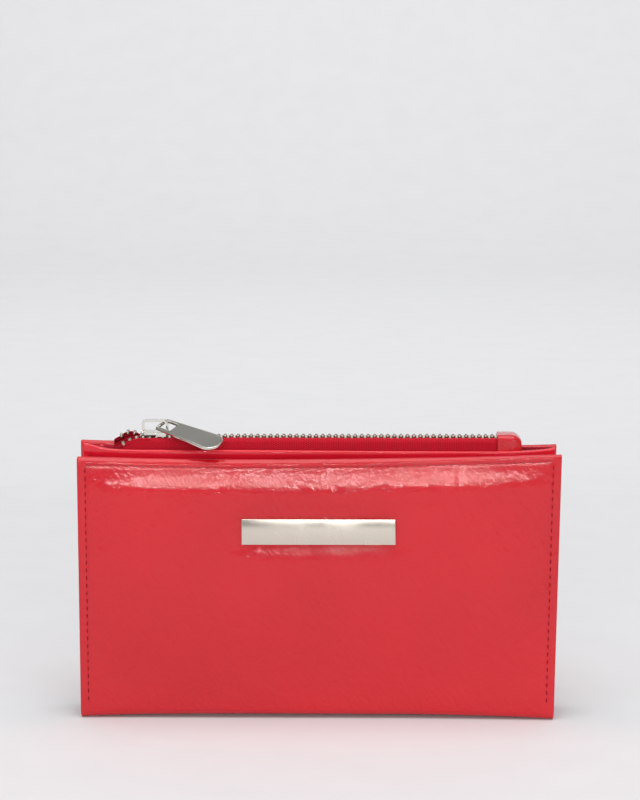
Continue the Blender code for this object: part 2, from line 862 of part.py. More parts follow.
def make_press_stud():
    """The press stud: a hidden cap and a sprung socket in the cover, a stud and its rivet in the
    pocket's wall."""
    board_y = SHEETS["cover_board"]
    hem_y = SHEETS["cover_hem"]
    cap_front = board_y[0] + (board - snap_disc) / 2
    socket_front = hem_y[1] + sheet_gap
    socket_back = socket_front + snap_socket_thickness
    tube_end = socket_front + snap_socket_thickness * 0.3
    tube_inner = snap_tube_radius - 0.35 * MM
    centre = (0, 0, snap_z)
    cap = turned_about_y(
        [
            (0, cap_front),
            (snap_radius, cap_front),
            (snap_radius, cap_front + snap_disc),
            (snap_tube_radius, cap_front + snap_disc),
            (snap_tube_radius, tube_end),
            (tube_inner, tube_end),
            (tube_inner, cap_front + snap_disc),
            (0, cap_front + snap_disc),
        ],
        centre,
    )
    finish(cap, "snap_cap", nickel, cover_hinge)

    bore = snap_tube_radius + snap_clearance / 2
    groove = bore + 2 * snap_spring_wire + 2 * thread_gap
    groove_y = (tube_end + 0.3 * MM, tube_end + 0.3 * MM + 2 * snap_spring_wire + 2 * thread_gap)
    socket = turned_about_y(
        [
            (bore, socket_front),
            (snap_radius, socket_front),
            (snap_radius, socket_front + snap_disc * 1.5),
            (snap_radius * 0.75, socket_back),
            (bore, socket_back),
            (bore, groove_y[1]),
            (groove, groove_y[1]),
            (groove, groove_y[0]),
            (bore, groove_y[0]),
        ],
        centre,
    )
    finish(socket, "snap_socket", nickel, cover_hinge)

    ring_y = (groove_y[0] + groove_y[1]) / 2
    bpy.ops.mesh.primitive_torus_add(
        major_radius=bore + snap_spring_wire + thread_gap,
        minor_radius=snap_spring_wire,
        major_segments=24,
        minor_segments=6,
        location=(0, ring_y, snap_z),
        rotation=(math.pi / 2, 0, 0),
    )
    finish(bpy.context.object, "snap_spring", nickel, cover_hinge)

    wall_y = SHEETS["pocket_leather"]
    base_back = wall_y[0] - thread_gap
    head_tip = socket_back - snap_socket_thickness * 0.6
    stud = turned_about_y(
        [
            (0, head_tip),
            (snap_stud_radius * 0.8, head_tip),
            (snap_stud_radius, head_tip + 0.4 * MM),
            (snap_neck_radius, head_tip + 1.0 * MM),
            (snap_neck_radius, base_back - snap_disc),
            (snap_radius, base_back - snap_disc),
            (snap_radius, base_back),
            (snap_neck_radius, base_back),
            (0, base_back),
        ],
        centre,
    )
    finish(stud, "snap_stud", nickel)

    rivet_back = wall_y[1] + thread_gap + snap_disc
    rivet = turned_about_y(
        [
            (0, base_back + thread_gap),
            (snap_tube_radius, base_back + thread_gap),
            (snap_tube_radius, rivet_back - snap_disc),
            (snap_radius, rivet_back - snap_disc),
            (snap_radius, rivet_back),
            (0, rivet_back),
        ],
        centre,
    )
    finish(rivet, "snap_rivet", nickel)


def make_thread(name, points, parent=None):
    """A seam's thread as one closed tube along its points."""
    return finish(poly_tube(points, thread_radius), name, thread_red, parent)


def make_seams():
    """The visible seams: round the three free edges of each outer panel, and below the zip."""
    stand_off = thread_gap + thread_radius
    for name, y, half, height, parent in (
        ("front_cover_thread", front_face - stand_off, half_cover, cover_height, cover_hinge),
        ("back_thread", back_face + stand_off, half_cover, body_height, None),
    ):
        x = half - thread_inset
        low, high = fold_radius + thread_inset, height - thread_inset
        make_thread(name, [(-x, y, low), (-x, y, high), (x, y, high), (x, y, low)], parent)
    x = half_body - thread_inset
    y = SHEETS["pocket_leather"][0] - stand_off
    z = body_height - hem_depth_body / 2
    make_thread("pocket_thread", [(-x, y, z), (x, y, z)])


make_front_cover()
make_spine()
make_back_half()
make_pocket_lining()
make_zip()
make_name_plate()
make_press_stud()
make_seams()
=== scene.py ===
"""Looks for a two-fold leather wallet with a zip along its top: glazed crinkled leather outside,
smooth leather inside, a metal zip with its slider and pull, and a plain metal plate on the front
cover. X runs along the wallet, Y from its front to its back and Z up, all in metres."""

import math

import bmesh
import bpy
import numpy as np
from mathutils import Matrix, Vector


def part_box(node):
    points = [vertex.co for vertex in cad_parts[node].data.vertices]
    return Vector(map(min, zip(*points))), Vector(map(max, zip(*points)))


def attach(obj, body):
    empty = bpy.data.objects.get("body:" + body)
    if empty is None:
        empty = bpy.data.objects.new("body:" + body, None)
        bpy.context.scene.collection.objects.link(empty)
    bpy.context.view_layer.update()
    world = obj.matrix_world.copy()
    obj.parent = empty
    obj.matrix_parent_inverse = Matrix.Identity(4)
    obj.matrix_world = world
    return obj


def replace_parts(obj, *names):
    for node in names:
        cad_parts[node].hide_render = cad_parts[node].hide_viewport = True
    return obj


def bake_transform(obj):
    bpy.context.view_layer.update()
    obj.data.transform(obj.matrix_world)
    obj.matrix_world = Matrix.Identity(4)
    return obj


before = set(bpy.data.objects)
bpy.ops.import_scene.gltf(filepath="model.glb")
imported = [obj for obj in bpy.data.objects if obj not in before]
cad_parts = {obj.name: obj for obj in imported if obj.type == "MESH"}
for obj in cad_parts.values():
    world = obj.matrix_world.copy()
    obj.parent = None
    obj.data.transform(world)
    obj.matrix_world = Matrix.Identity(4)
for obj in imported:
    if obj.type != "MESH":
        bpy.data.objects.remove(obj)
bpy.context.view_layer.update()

MM = 0.001


# Places, read from the fixed model ---------------------------------------------------------------


def span(node):
    """Lowest and highest corner of a fixed node, as two numpy rows."""
    low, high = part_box(node)
    return np.array(low), np.array(high)


cover_low, cover_high = span("front_cover_leather")
pocket_low, pocket_high = span("pocket_front_leather")
plate_low, plate_high = span("name_plate")
tab_low, tab_high = span("zip_end_tab")

half_cover = cover_high[0]
half_pocket = pocket_high[0]
cover_height = cover_high[2]
body_height = span("back_leather")[1][2]
front_face = cover_low[1]
back_face = span("back_leather")[1][1]
spine_middle = (front_face + back_face) / 2
plate_z = (plate_low[2] + plate_high[2]) / 2
fold_radius = 3 * MM
leather = 1 * MM

tape_thickness = 0.5 * MM
tooth_head = 0.6 * MM  # how far a tooth reaches past the middle of the chain
tooth_rise = 1.0 * MM  # from the chain's mid-height to the top of a tooth
zip_y = span("zip_teeth_front")[1][1] - tooth_head
zip_z = span("zip_teeth_front")[1][2] - tooth_rise


# Meshes ------------------------------------------------------------------------------------------


def make_object(name, points, faces, smooth=True, uv=None):
    """One mesh object at the origin from an array of points and an array of faces."""
    mesh = bpy.data.meshes.new(name)
    mesh.from_pydata(points.tolist(), [], faces.tolist())
    mesh.validate()
    if smooth:
        mesh.polygons.foreach_set("use_smooth", np.ones(len(mesh.polygons), bool))
    if uv is not None:
        layer = mesh.uv_layers.new(name="UVMap")
        loops = np.zeros(len(mesh.loops), np.int32)
        mesh.loops.foreach_get("vertex_index", loops)
        layer.data.foreach_set("uv", uv[loops].astype(np.float32).ravel())
    obj = bpy.data.objects.new(name, mesh)
    bpy.context.scene.collection.objects.link(obj)
    return obj


def grid_faces(rows, columns, closed=False):
    """Quads of a grid whose point (i, j) is number i * columns + j. On a closed grid the last
    column joins the first."""
    i = np.arange(rows - 1)
    j = np.arange(columns if closed else columns - 1)
    i, j = (a.ravel() for a in np.meshgrid(i, j, indexing="ij"))
    row, next_row, next_j = i * columns, (i + 1) * columns, (j + 1) % columns
    return np.stack([row + j, next_row + j, next_row + next_j, row + next_j], axis=1)


def along(*runs):
    """Stations through (from, to, count) runs, ends shared."""
    parts = [np.linspace(a, b, count, endpoint=False) for a, b, count in runs]
    return np.concatenate(parts + [[runs[-1][1]]])


def turn(centre, radius, start, end, count):
    """Points on an arc of (y, z), angles in degrees from +Y towards +Z."""
    angle = np.radians(np.linspace(start, end, count))
    return np.stack([centre[0] + radius * np.cos(angle), centre[1] + radius * np.sin(angle)], 1)


def line(start, end, count):
    """Points on a straight run of (y, z), both ends included."""
    return np.linspace(np.array(start, float), np.array(end, float), count)


def profile(*runs):
    """Joins runs of (y, z) points and drops repeated ones."""
    points = np.concatenate(runs)
    keep = np.r_[True, np.linalg.norm(np.diff(points, axis=0), axis=1) > 1e-7]
    return points[keep]


def sheet_normals(path):
    """Unit normals to the right of a path of (y, z) points, from central differences."""
    step = np.gradient(path, axis=0)
    step /= np.linalg.norm(step, axis=1, keepdims=True)
    return np.stack([step[:, 1], -step[:, 0]], 1)


def round_off(distance, radius):
    """Share of full thickness left at a distance from an edge: a quarter circle, never quite 0."""
    share = np.clip(distance / radius, 0.0, 1.0)
    return np.maximum(np.sqrt(1 - (1 - share) ** 2), 0.25)


def sheet_solid(name, middle, thickness, stations, bend, edge=None, joined=False):
    """A closed sheet carried along X. middle is the path of its mid-line as (y, z) points, and
    each side stands half the thickness off it. The thickness rounds off at all four edges over
    the length 'edge', but not at the path's start where the sheet is joined there to the next
    one. bend takes and returns arrays x, y, z, and gives the flat-sided sheet its soft shape."""
    edge = thickness / 2 if edge is None else edge
    run = np.r_[0, np.cumsum(np.linalg.norm(np.diff(middle, axis=0), axis=1))]
    thick = np.broadcast_to(thickness, len(middle)) / 2
    thick = thick * round_off(np.minimum(run + edge * joined, run[-1] - run), edge)
    ends = round_off(np.minimum(stations - stations[0], stations[-1] - stations), edge)
    normals = sheet_normals(middle)
    count = len(middle)
    sides = []
    for sign in (1, -1):
        offset = sign * thick[None, :, None] * normals[None] * ends[:, None, None]
        sides.append(middle[None] + offset)
    ring = np.concatenate([sides[0], sides[1][:, ::-1]], axis=1)
    x = np.repeat(stations[:, None], 2 * count, axis=1)
    y, z = ring[..., 0], ring[..., 1]
    v = np.r_[run, run[::-1]]
    uv = np.stack([x, np.broadcast_to(v, x.shape)], -1).reshape(-1, 2)
    points = np.stack(bend(x, y, z), -1).reshape(-1, 3)
    faces = grid_faces(len(stations), 2 * count, closed=True)
    k = np.arange(count - 1)
    last = (len(stations) - 1) * 2 * count
    cap = np.stack([k, k + 1, 2 * count - 2 - k, 2 * count - 1 - k], 1)
    faces = np.concatenate([faces, cap, (cap + last)[:, ::-1]])
    return outward(make_object(name, points, faces, uv=uv))


def outward(obj):
    """Turns a closed mesh's faces outwards if its signed volume is negative."""
    shape = bmesh.new()
    shape.from_mesh(obj.data)
    if shape.calc_volume(signed=True) < 0:
        bmesh.ops.reverse_faces(shape, faces=shape.faces)
    shape.to_mesh(obj.data)
    shape.free()
    return obj


def refined(node_name, name, width, segments):
    """A copy of a fixed node with its loose triangles merged and its hard edges rounded."""
    merge_distance, flat_angle, hard_angle = 0.002 * MM, math.radians(1), math.radians(30)
    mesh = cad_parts[node_name].data.copy()
    mesh.name = name
    shape = bmesh.new()
    shape.from_mesh(mesh)
    bmesh.ops.remove_doubles(shape, verts=shape.verts, dist=merge_distance)
    bmesh.ops.dissolve_limit(shape, angle_limit=flat_angle, verts=shape.verts, edges=shape.edges)
    shape.to_mesh(mesh)
    shape.free()
    obj = bpy.data.objects.new(name, mesh)
    bpy.context.scene.collection.objects.link(obj)
    rounding = obj.modifiers.new("rounded_edges", "BEVEL")
    rounding.width = width
    rounding.segments = segments
    rounding.limit_method = "ANGLE"
    rounding.angle_limit = hard_angle
    rounding.harden_normals = True
    mesh.polygons.foreach_set("use_smooth", np.ones(len(mesh.polygons), bool))
    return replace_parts(obj, node_name)


# Materials ---------------------------------------------------------------------------------------


def linear(hex_colour):
    """An sRGB hex colour as linear RGBA."""
    values = [int(hex_colour[i : i + 2], 16) / 255 for i in (0, 2, 4)]
    return [v / 12.92 if v <= 0.04045 else ((v + 0.055) / 1.055) ** 2.4 for v in values] + [1.0]


def node(tree, kind, settings=None, links=None, stops=()):
    """Adds a shader node. Settings are properties, or sockets by name or number; links join sockets
    of this node to outputs given as (node, output); stops are a colour ramp's two ends, each a
    position and a hex colour."""
    added = tree.nodes.new("ShaderNode" + kind)
    for key, value in (settings or {}).items():
        if isinstance(key, str) and hasattr(added, key):
            setattr(added, key, value)
        else:
            added.inputs[key].default_value = value
    for key, (source, output) in (links or {}).items():
        tree.links.new(source.outputs[output], added.inputs[key])
    for element, (position, colour) in zip(added.color_ramp.elements if stops else (), stops):
        element.position = position
        element.color = linear(colour)
    return added


def new_material(name):
    """An empty node material with its output, and the tree."""
    material = bpy.data.materials.new(name)
    material.use_nodes = True
    tree = material.node_tree
    tree.nodes.clear()
    return material, tree


def finish_material(tree, settings, links):
    """Adds the Principled shader and the output."""
    shader = node(tree, "BsdfPrincipled", settings, links)
    node(tree, "OutputMaterial", {}, {"Surface": (shader, "BSDF")})


# A noise texture's scale is its number of features in a metre, and a Mapping node of the kind
# TEXTURE takes the size of one feature instead.


def glazed_leather(name, light, dark, crinkle):
    """Patent leather: a dyed hide under a thick clear lacquer. The lacquer is crackled in
    creases of a few millimetres that run slantwise in two directions, so a highlight breaks up
    into short strokes. Slow waves of 18 mm bend the reflections, and the dye clouds over 70 mm."""
    material, tree = new_material(name)
    place = node(tree, "TexCoord")
    slant = node(
        tree,
        "Mapping",
        {
            "vector_type": "TEXTURE",
            "Rotation": (0, math.radians(52), 0),
            "Scale": (5.0 * MM, 2.2 * MM, 1.7 * MM),
        },
        {"Vector": (place, "Object")},
    )
    creases = node(
        tree,
        "TexNoise",
        {"Scale": 1.0, "Detail": 3.0, "Roughness": 0.6},
        {"Vector": (slant, "Vector")},
    )
    cross = node(
        tree,
        "Mapping",
        {
            "vector_type": "TEXTURE",
            "Rotation": (0, math.radians(-28), 0),
            "Scale": (3.0 * MM, 2.2 * MM, 1.8 * MM),
        },
        {"Vector": (place, "Object")},
    )
    cross_creases = node(
        tree,
        "TexNoise",
        {"Scale": 1.0, "Detail": 2.0, "Roughness": 0.5},
        {"Vector": (cross, "Vector")},
    )
    height = node(
        tree,
        "Math",
        {"operation": "MULTIPLY_ADD", 1: 0.8},
        {0: (cross_creases, "Fac"), 2: (creases, "Fac")},
    )
    bump = node(
        tree, "Bump", {"Strength": 1.0, "Distance": crinkle}, {"Height": (height, "Value")}
    )
    swell = node(tree, "TexNoise", {"Scale": 55.0, "Detail": 2.0}, {"Vector": (place, "Object")})
    waves = node(
        tree,
        "Bump",
        {"Strength": 1.0, "Distance": 0.5 * MM},
        {"Height": (swell, "Fac"), "Normal": (bump, "Normal")},
    )
    cloud = node(tree, "TexNoise", {"Scale": 14.0, "Detail": 3.0}, {"Vector": (place, "Object")})
    colour = node(tree, "ValToRGB", {}, {"Fac": (cloud, "Fac")}, [(0.35, dark), (0.65, light)])
    finish_material(
        tree,
        {
            "Roughness": 0.4,
            "IOR": 1.5,
            "Specular IOR Level": 0.05,
            "Coat Weight": 1.0,
            "Coat Roughness": 0.04,
            "Coat IOR": 1.5,
        },
        {
            "Base Color": (colour, "Color"),
            "Normal": (waves, "Normal"),
            "Coat Normal": (waves, "Normal"),
        },
    )
    return material


def smooth_leather(name, light, dark):
    """Corrected-grain leather: a rolled, satin face with a fine pebble of two thirds of a
    millimetre and a thin finish that softens what it reflects."""
    material, tree = new_material(name)
    place = node(tree, "TexCoord")
    pebble = node(
        tree,
        "TexVoronoi",
        {"Scale": 1500.0, "feature": "SMOOTH_F1", "Smoothness": 0.6},
        {"Vector": (place, "Object")},
    )
    bump = node(
        tree, "Bump", {"Strength": 0.5, "Distance": 0.06 * MM}, {"Height": (pebble, "Distance")}
    )
    cloud = node(tree, "TexNoise", {"Scale": 30.0, "Detail": 3.0}, {"Vector": (place, "Object")})
    colour = node(tree, "ValToRGB", {}, {"Fac": (cloud, "Fac")}, [(0.35, dark), (0.65, light)])
    finish_material(
        tree,
        {"Roughness": 0.36, "IOR": 1.48, "Coat Weight": 0.35, "Coat Roughness": 0.22},
        {"Base Color": (colour, "Color"), "Normal": (bump, "Normal")},
    )
    return material


ONE_BAND = math.pi / 10  # the wave texture's scale that gives one band per unit


def woven(name, light, dark, rib, run):
    """Woven cloth: ribs and the threads that cross them, as two waves whose product lifts each
    crossing. The colour follows the same height, with painted shade darkening the hollows between
    threads. rib and run are the spacings along the piece's own U and V in metres."""
    material, tree = new_material(name)
    place = node(tree, "TexCoord")
    across = node(tree, "Mapping", {"Scale": (1 / rib, 0, 0)}, {"Vector": (place, "UV")})
    ribs = node(
        tree,
        "TexWave",
        {"Scale": ONE_BAND, "bands_direction": "X"},
        {"Vector": (across, "Vector")},
    )
    up = node(tree, "Mapping", {"Scale": (0.6 / run, 1 / run, 0)}, {"Vector": (place, "UV")})
    threads = node(
        tree,
        "TexWave",
        {"Scale": ONE_BAND, "bands_direction": "DIAGONAL"},
        {"Vector": (up, "Vector")},
    )
    height = node(
        tree, "Math", {"operation": "MULTIPLY"}, {0: (ribs, "Fac"), 1: (threads, "Fac")}
    )
    bump = node(
        tree, "Bump", {"Strength": 1.0, "Distance": 0.18 * MM}, {"Height": (height, "Value")}
    )
    # Painted shade: darker where the weave is low, between the threads, and lighter on the raised
    # crossings.
    colour = node(tree, "ValToRGB", {}, {"Fac": (height, "Value")}, [(0.0, dark), (0.8, light)])
    finish_material(
        tree,
        {"Roughness": 0.8, "IOR": 1.46, "Specular IOR Level": 0.2, "Sheen Weight": 0.05},
        {"Base Color": (colour, "Color"), "Normal": (bump, "Normal")},
    )
    return material


def plated_metal(name, colour, roughness, brushed):
    """Nickel plate on zinc: a warm grey mirror. Handling leaves faint smears in its roughness,
    11 mm across. A brushed face, with brushed 1, has fine lines along X, 17 mm long and 0.11 mm
    apart."""
    polished_depth, brushed_depth = 0.0003 * MM, 0.008 * MM
    material, tree = new_material(name)
    place = node(tree, "TexCoord")
    smear = node(tree, "TexNoise", {"Scale": 90.0, "Detail": 2.0}, {"Vector": (place, "Object")})
    rough = node(
        tree,
        "MapRange",
        {"From Min": 0.3, "From Max": 0.7, "To Min": roughness * 0.75, "To Max": roughness * 1.3},
        {"Value": (smear, "Fac")},
    )
    stretched = node(
        tree, "Mapping", {"Scale": (60, 9000, 9000)}, {"Vector": (place, "Object")}
    )
    lines = node(
        tree, "TexNoise", {"Scale": 1.0, "Detail": 2.0}, {"Vector": (stretched, "Vector")}
    )
    bump = node(
        tree,
        "Bump",
        {"Strength": 0.6, "Distance": polished_depth + brushed * brushed_depth},
        {"Height": (lines, "Fac")},
    )
    finish_material(
        tree,
        {"Base Color": linear(colour), "Metallic": 1.0},
        {"Roughness": (rough, "Result"), "Normal": (bump, "Normal")},
    )
    return material


def plain_fibre(name, light, dark, fibres, roughness):
    """A matt fibrous finish, such as millboard or twisted thread: colour and height follow one
    noise. fibres is their number in a metre."""
    material, tree = new_material(name)
    place = node(tree, "TexCoord")
    fibre = node(
        tree,
        "TexNoise",
        {"Scale": fibres, "Detail": 4.0, "Roughness": 0.7},
        {"Vector": (place, "Object")},
    )
    bump = node(tree, "Bump", {"Strength": 0.6, "Distance": 0.08 * MM}, {"Height": (fibre, "Fac")})
    colour = node(tree, "ValToRGB", {}, {"Fac": (fibre, "Fac")}, [(0.3, dark), (0.7, light)])
    finish_material(
        tree,
        {"Roughness": roughness, "IOR": 1.45, "Specular IOR Level": 0.1},
        {"Base Color": (colour, "Color"), "Normal": (bump, "Normal")},
    )
    return material


# Lacquered and crackled: a wet shine over deep red, its highlight torn into slanting strokes.
patent = glazed_leather("glazed_red_leather", "CE1422", "C3101E", 0.24 * MM)
# The same lacquer on leather that was stretched smooth: long, hardly broken reflections.
pocket_patent = glazed_leather("glazed_pocket_leather", "E0182F", "D41328", 0.04 * MM)
# Rolled and thinly finished, without the thick lacquer: an even red with a soft, wide sheen.
satin = smooth_leather("satin_red_leather", "C41C2D", "BC192A")
# Polyester woven in ribs: a matt tape, ribbed across its length. The ribs are drawn about twice as
# wide as real ones, which would be too fine to show.
tape_weave = woven("woven_zip_tape", "D91831", "AE0C22", 0.7 * MM, 0.45 * MM)
# Twill: a matt cloth with a slanting line, which looks darker where it hangs inside the pocket.
twill_lining = woven("twill_lining", "C01A2C", "960F20", 0.9 * MM, 0.6 * MM)
# Plated and polished: the slider, the pull and the snap mirror the room.
nickel = plated_metal("polished_nickel", "DAD7CE", 0.14, 0.0)
# Pressed and tumbled teeth: duller than the slider, with a spread highlight on each. Their colour,
# darker and browner than the slider's, is painted shade and a painted reflection of the red around
# them.
shaded_tooth_nickel = plated_metal("shaded_tooth_nickel", "B3A99B", 0.26, 0.0)
# Brushed and plated: a pale champagne plate with a grain along it that draws out its highlight.
plate_finish = plated_metal("satin_champagne_plate", "DCD2C6", 0.24, 1.0)
# Pressed board, dyed to go with the leather: dull, and seen only as thin edges, if at all.
millboard = plain_fibre("dyed_millboard", "8C1B26", "74131D", 900.0, 0.9)
# Twisted and dyed darker than the leather: each stitch reads as a short dark dash.
thread = plain_fibre("red_polyester_thread", "A31122", "7E0A1A", 4000.0, 0.6)


def dress(obj, material, body):
    """Gives a piece its material and its body."""
    obj.data.materials.clear()
    obj.data.materials.append(material)
    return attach(obj, body)


# The leather's soft shape ------------------------------------------------------------------------


def smooth_step(value):
    """0 below 0, 1 above 1, and a smooth ramp between."""
    t = np.clip(value, 0.0, 1.0)
    return t * t * (3 - 2 * t)


seam_inset = 3.2 * MM  # from an edge to the seam beside it
seam_width = 0.7 * MM
seam_x = half_cover - seam_inset
top_seam = cover_height - 2.7 * MM
roll_length = 10.5 * MM
roll_start = top_seam - roll_length
foot_lift = 1.3 * MM


def seam_dip(distance):
    """A soft groove where a seam pulls the leather in: a bell curve across the seam."""
    return np.exp(-((distance / seam_width) ** 2))


def side_seam_dip(x, z):
    """The groove of an outer panel's two side seams, which fades in above the fold."""
    return seam_dip(np.abs(x) - seam_x) * smooth_step((z - 6 * MM) / (2 * MM))


def cover_relief(x, z):
    """How far the front cover's face stands forward of its flat place. It swells up to a roll
    below the top seam, dips along the seams, and is pressed in by the plate with a ridge just
    above it."""
    swell_height, seam_depth, press_depth, ridge_height = 1.8 * MM, 0.24 * MM, 0.95 * MM, 0.45 * MM
    u = x / half_cover
    v = z / cover_height
    roll = 1 - smooth_step((z - roll_start) / roll_length)
    swell = swell_height * (1 - u**6) * smooth_step(v / 0.5) * roll
    top_dip = seam_dip(z - top_seam) * (np.abs(x) < seam_x)
    up = z - plate_z
    press = np.exp(-((x / (34 * MM)) ** 8 + (up / (8.5 * MM)) ** 4))
    ridge = np.exp(-((x / (28 * MM)) ** 8 + ((up - 6.2 * MM) / (1.9 * MM)) ** 2))
    dips = seam_depth * np.maximum(side_seam_dip(x, z), top_dip)
    return swell - dips - (press_depth * press - ridge_height * ridge)


def shape_cover(x, y, z):
    """Moves the flat cover to its soft shape. u runs from -1 to 1 across it and v from 0 to 1 up
    it. The face takes its relief, the top sags in the middle and stands taller at the right, the
    spine's middle lifts off the ground, the right side runs in downwards and its foot splays
    forward, and the hem's edge tips up at the left."""
    u = x / half_cover
    v = np.clip(z / cover_height, 0, 1)
    sag = 1.3 * MM * (1 - u**2) * v**3
    tall = 1.7 * MM * smooth_step(u / 2 + 0.5) ** 2 * v
    lift = foot_lift * (1 - u**4) * (1 - v) ** 10
    widen = 1.0075 + (u + 1) / 2 * (0.003 - 0.023 * (1 - v))
    depth = np.clip((y - front_face) / (2.7 * MM), 0, 1)
    hem_edge = smooth_step((z - cover_height + 3 * MM) / (2 * MM)) * (1 - smooth_step(u / 0.9))
    rise = (1.5 * depth - 0.5) * MM * hem_edge
    splay = 1.5 * MM * smooth_step((u - 0.3) / 0.7) * (1 - v) ** 2
    return x * widen, y - cover_relief(x, z) - splay, z - sag + tall + rise + lift


def shape_back(x, y, z):
    """The back panel's soft shape: a shallow swell that eases off towards the top, a dip along
    the seams, a sag of the top and the cover's lifted foot. Only the outer face takes swell and
    dips."""
    swell_height, seam_depth = 1.2 * MM, 0.25 * MM
    u = x / half_cover
    v = np.clip(z / body_height, 0, 1)
    lift = foot_lift * (1 - u**4) * (1 - v) ** 10
    widen = 1.0075 + 0.0025 * v - (u + 1) / 2 * (0.02 - 0.01 * v)
    ease = 1 - 0.6 * smooth_step((v - 0.7) / 0.3)
    swell = swell_height * (1 - u**4) * smooth_step(v / 0.3) * ease
    dips = np.maximum(side_seam_dip(x, z), seam_dip(z - (body_height - seam_inset)))
    sag = (0.8 * (1 - u**6) + 1.6 * smooth_step(u / 2 + 0.5) ** 2) * MM * v**6
    outer = smooth_step((y - (back_face - 2.2 * MM)) / (1 * MM))
    return x * widen, y + (swell - seam_depth * dips) * outer, z + lift - sag


def cover_stations():
    """Stations across the cover, closer together at the side seams and the edges."""
    inside, outside = seam_x - 1.5 * MM, seam_x + 1.5 * MM
    return along(
        (-half_cover, -outside, 12),
        (-outside, -inside, 12),
        (-inside, inside, 150),
        (inside, outside, 12),
        (outside, half_cover, 12),
    )


def shell_path(outer_y, inward, height, hem_y, hem_end):
    """Mid-line of an outer panel's leather: half the spine, the fold, the panel, the turn over its
    top and the hem behind. inward is +1 for the front and -1 for the back. The points lie closer
    together near the top, where the seam and the roll are."""
    half = leather / 2
    close_from = height - 8 * MM
    centre = (outer_y + inward * fold_radius, fold_radius)
    face = outer_y + inward * half
    turn_radius = abs(hem_y - face) / 2
    turn_centre = (face + inward * turn_radius, height - half - turn_radius)
    start, stop = (-90, -180) if inward > 0 else (-90, 0)
    over = (180, 0) if inward > 0 else (0, 180)
    return profile(
        line((spine_middle, half), (centre[0], half), 8),
        turn(centre, fold_radius - half, start, stop, 12),
        line((face, fold_radius), (face, close_from), 70),
        line((face, close_from), (face, turn_centre[1]), 22),
        turn(turn_centre, turn_radius, over[0], over[1], 12),
        line((hem_y, turn_centre[1]), (hem_y, height - hem_end), 8),
    )


cover_hem_y = cover_high[1] - 0.3 * MM
cover_path = shell_path(front_face, 1, cover_height, cover_hem_y, 5 * MM)
cover_leather = sheet_solid(
    "cover_leather_skin", cover_path, leather, cover_stations(), shape_cover, joined=True
)
cover_leather.data.materials.append(patent)
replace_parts(cover_leather, "front_cover_leather", "spine_leather")
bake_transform(cover_leather)

back_path = shell_path(back_face, -1, body_height, back_face - 2.4 * MM, 7 * MM)
back_leather = sheet_solid(
    "back_leather_skin", back_path, leather, cover_stations(), shape_back, joined=True
)
back_leather.data.materials.append(patent)
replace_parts(back_leather, "back_leather")
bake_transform(back_leather)


# Pocket wall, linings and card slots -------------------------------------------------------------


def body_stations():
    """Stations across the pocket wall, closer together at its ends."""
    edge = half_pocket - 6 * MM
    return along((-half_pocket, -edge, 16), (-edge, edge, 110), (edge, half_pocket, 16))


def shape_pocket(x, y, z):
    """The pocket wall sags between its corners, leans and waves a little forward at its top, stands
    up at its left corner, and is drawn in along its seam."""
    u = x / half_pocket
    v = np.clip(z / body_height, 0, 1)
    sag = (1.7 * (1 - u**12) + 0.5 * smooth_step(u / 2 + 0.5) ** 2) * MM * v**8
    corner = 1.1 * MM * smooth_step((-x - 82 * MM) / (11 * MM)) * v**8
    lean = (0.6 * MM + 0.25 * MM * np.sin(x / (17 * MM))) * (1 - u**4)
    lean = lean * smooth_step((z - 101 * MM) / (8 * MM))
    seam = 0.2 * MM * seam_dip(z - pocket_seam) * (y < pocket_low[1] + leather)
    return x, y - lean + seam, z - sag + corner


pocket_seam = body_height - 4.4 * MM
pocket_face = pocket_low[1] + leather / 2
pocket_hem_y = pocket_high[1] - 0.3 * MM
hem_turn = (pocket_hem_y - pocket_face) / 2
close_from = body_height - 9 * MM  # the path's points lie closer together from here up
hem_centre = (pocket_face + hem_turn, body_height - leather / 2 - hem_turn)
pocket_path = profile(
    line((pocket_face, pocket_low[2]), (pocket_face, close_from), 40),
    line((pocket_face, close_from), (pocket_face, hem_centre[1]), 26),
    turn(hem_centre, hem_turn, 180, 0, 12),
    line((pocket_hem_y, hem_centre[1]), (pocket_hem_y, body_height - 7 * MM), 8),
)
hem_share = smooth_step((pocket_path[:, 0] - pocket_face) / (2 * hem_turn))
pocket_thickness = leather - 0.4 * MM * hem_share
pocket_wall = sheet_solid(
    "pocket_wall_skin", pocket_path, pocket_thickness, body_stations(), shape_pocket, 0.5 * MM
)
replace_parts(pocket_wall, "pocket_front_leather")
dress(pocket_wall, pocket_patent, "back_half")


def flat_sheet(node_name, material, body, slot, crease=0.0, wave=0.0):
    """An upright sheet in place of a fixed one. Its edges are rounded, a crease as deep as 'crease'
    runs 3 mm below its top edge on both faces, and the sheet waves slowly by 'wave'."""
    low, high = span(node_name)
    middle = (low[1] + high[1]) / 2
    crease_z = high[2] - 3 * MM
    close_from = high[2] - 5 * MM
    left, right = low[0] + 1 * MM, high[0] - 1 * MM

    def soften(x, y, z):
        side = np.where(y > middle, 1, -1)
        y = y - side * crease * seam_dip(z - crease_z)
        return x, y + wave * np.sin(x / (23 * MM)) * np.sin(z / (19 * MM)), z

    path = profile(
        line((middle, low[2]), (middle, close_from), 24),
        line((middle, close_from), (middle, high[2]), 24),
    )
    stations = along((low[0], left, 6), (left, right, 60), (right, high[0], 6))
    obj = sheet_solid(node_name + "_skin", path, high[1] - low[1], stations, soften)
    return dress(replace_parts(obj, node_name), material, body)


slot_soft = {"crease": 0.08 * MM, "wave": 0.05 * MM}
for number in (1, 2, 3):
    for place, body in (("cover", "front_cover"), ("pocket", "back_half")):
        flat_sheet(f"{place}_card_slot_{number}", satin, body, "smooth_leather", **slot_soft)
flat_sheet("front_cover_lining", satin, "front_cover", "smooth_leather")
for lining_name in ("pocket_lining_front", "pocket_lining_back"):
    lining = flat_sheet(lining_name, twill_lining, "back_half", "twill")


